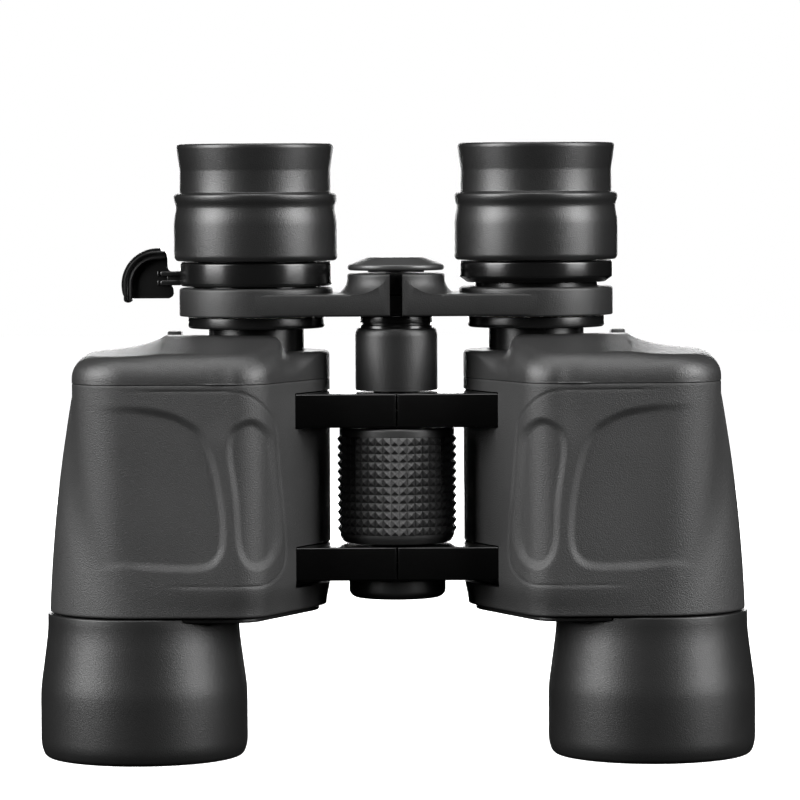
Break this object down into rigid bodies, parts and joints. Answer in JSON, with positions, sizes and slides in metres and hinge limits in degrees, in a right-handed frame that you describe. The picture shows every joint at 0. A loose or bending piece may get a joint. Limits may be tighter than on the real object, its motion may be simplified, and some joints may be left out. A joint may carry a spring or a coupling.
{
  "type": "zoom binoculars",
  "caption": "Standing Porro-prism zoom binoculars with a folding hinge, centre focus wheel, thumb zoom lever and diopter ring.",
  "frame": {"origin": "middle of the footprint, on the plane that the two objective rims stand on", "axes": "+Z along the optical axes to the eyepieces, +X to the user's left barrel, -Y to the side that is on top in use"},
  "size_m": [0.187, 0.0646, 0.1598],
  "materials": {
    "armour_rubber": "fine-grained matte rubber armour, dark grey",
    "cover_rubber": "matte rubber-coated plastic, dark grey",
    "gloss_paint": "gloss black paint on a light-alloy casting",
    "satin_paint": "satin black anodised light alloy",
    "tube_paint": "semi-gloss black drawn tube",
    "ring_paint": "gloss black ring",
    "arm_plastic": "satin charcoal plastic",
    "cap_plastic": "satin charcoal plastic",
    "black_plastic": "matt black plastic",
    "lever_plastic": "semi-matt black plastic",
    "grip_rubber": "moulded grip rubber, charcoal",
    "eyecup_rubber": "soft matt black rubber",
    "glass": "coated optical glass",
    "steel": "turned steel",
    "brass": "machined brass"
  },
  "bodies": {
    "right_body": {"right_housing": "gloss_paint", "right_armour": "armour_rubber", "right_rear_cover": "cover_rubber", "right_front_cover": "satin_paint", "right_prism_shelf": "steel", "right_rear_prism": "glass", "right_front_prism": "glass", "right_rear_prism_clip": "steel", "right_front_prism_clip": "steel", "right_objective_barrel": "satin_paint", "right_objective_ring": "black_plastic", "right_objective_crown_lens": "glass", "right_objective_flint_lens": "glass", "hinge_axle": "steel", "axle_nut": "brass", "upper_hinge_tube": "satin_paint", "hinge_end_cap": "gloss_paint"},
    "left_body": {"left_housing": "gloss_paint", "left_armour": "armour_rubber", "left_rear_cover": "cover_rubber", "left_front_cover": "satin_paint", "left_prism_shelf": "steel", "left_rear_prism": "glass", "left_front_prism": "glass", "left_rear_prism_clip": "steel", "left_front_prism_clip": "steel", "left_objective_barrel": "satin_paint", "left_objective_ring": "black_plastic", "left_objective_crown_lens": "glass", "left_objective_flint_lens": "glass"},
    "focus_wheel": {"focus_wheel_hub": "black_plastic", "focus_wheel_grip": "grip_rubber"},
    "right_bridge": {"right_eyepiece_arm": "arm_plastic", "right_eyepiece_tube": "tube_paint", "right_field_lens": "glass", "right_ocular_housing": "black_plastic", "right_eye_lens": "glass", "right_eye_lens_ring": "black_plastic", "right_eyecup": "eyecup_rubber", "focus_spindle": "steel", "focus_drive_pin": "steel", "guide_sleeve": "gloss_paint", "bridge_cap": "cap_plastic"},
    "left_bridge": {"left_eyepiece_arm": "arm_plastic", "left_eyepiece_tube": "tube_paint", "left_field_lens": "glass"},
    "zoom_control": {"zoom_ring": "ring_paint", "zoom_lever": "lever_plastic", "zoom_key": "steel", "right_cam_sleeve": "brass"},
    "left_zoom_drive": {"left_cam_sleeve": "brass"},
    "right_zoom_carrier": {"right_zoom_cell": "black_plastic", "right_zoom_lens": "glass"},
    "left_zoom_carrier": {"left_zoom_cell": "black_plastic", "left_zoom_lens": "glass"},
    "left_ocular": {"left_ocular_housing": "black_plastic", "left_eye_lens": "glass", "left_eye_lens_ring": "black_plastic"},
    "diopter_eyecup": {"diopter_ring": "ring_paint", "left_eyecup": "eyecup_rubber"}
  },
  "joints": [
    {"name": "interpupillary_hinge", "type": "hinge", "parent": "right_body", "child": "left_body", "pos_m": [0, 0.0027, 0], "axis": [0, 0, 1], "range_deg": [0, 60]},
    {"name": "focus_turn", "type": "hinge", "parent": "right_body", "child": "focus_wheel", "pos_m": [0, 0.0027, 0.07], "axis": [0, 0, 1], "range_deg": [0, 351]},
    {"name": "right_focus_slide", "type": "slide", "parent": "right_body", "child": "right_bridge", "axis": [0, 0, 1], "range_m": [0, 0.007]},
    {"name": "left_focus_slide", "type": "slide", "parent": "left_body", "child": "left_bridge", "axis": [0, 0, 1], "range_m": [0, 0.00701]},
    {"name": "zoom_turn", "type": "hinge", "parent": "right_bridge", "child": "zoom_control", "pos_m": [-0.037, 0.0107, 0.1255], "axis": [0, 0, 1], "range_deg": [-50, 50]},
    {"name": "left_zoom_turn", "type": "hinge", "parent": "left_bridge", "child": "left_zoom_drive", "pos_m": [0.037, 0.0107, 0.1255], "axis": [0, 0, 1], "range_deg": [-50.5, 50.5]},
    {"name": "right_zoom_slide", "type": "slide", "parent": "right_bridge", "child": "right_zoom_carrier", "axis": [0, 0, 1], "range_m": [-0.00393, 0.00393]},
    {"name": "left_zoom_slide", "type": "slide", "parent": "left_bridge", "child": "left_zoom_carrier", "axis": [0, 0, 1], "range_m": [-0.00393, 0.00393]},
    {"name": "left_ocular_slide", "type": "slide", "parent": "left_bridge", "child": "left_ocular", "axis": [0, 0, 1], "range_m": [-0.001, 0.001]},
    {"name": "diopter_turn", "type": "hinge", "parent": "left_ocular", "child": "diopter_eyecup", "pos_m": [0.037, 0.0107, 0.1255], "axis": [0, 0, 1], "range_deg": [-60, 60]}
  ],
  "couplings": [
    {"joint": "focus_turn", "follows": "right_focus_slide", "rad_per_m": 872.66},
    {"joint": "left_focus_slide", "follows": "right_focus_slide", "ratio": 1},
    {"joint": "left_zoom_turn", "follows": "zoom_turn", "ratio": 1},
    {"joint": "right_zoom_slide", "follows": "zoom_turn", "m_per_rad": 0.0045},
    {"joint": "left_zoom_slide", "follows": "zoom_turn", "m_per_rad": 0.0045},
    {"joint": "left_ocular_slide", "follows": "diopter_turn", "m_per_rad": 0.00095}
  ]
}
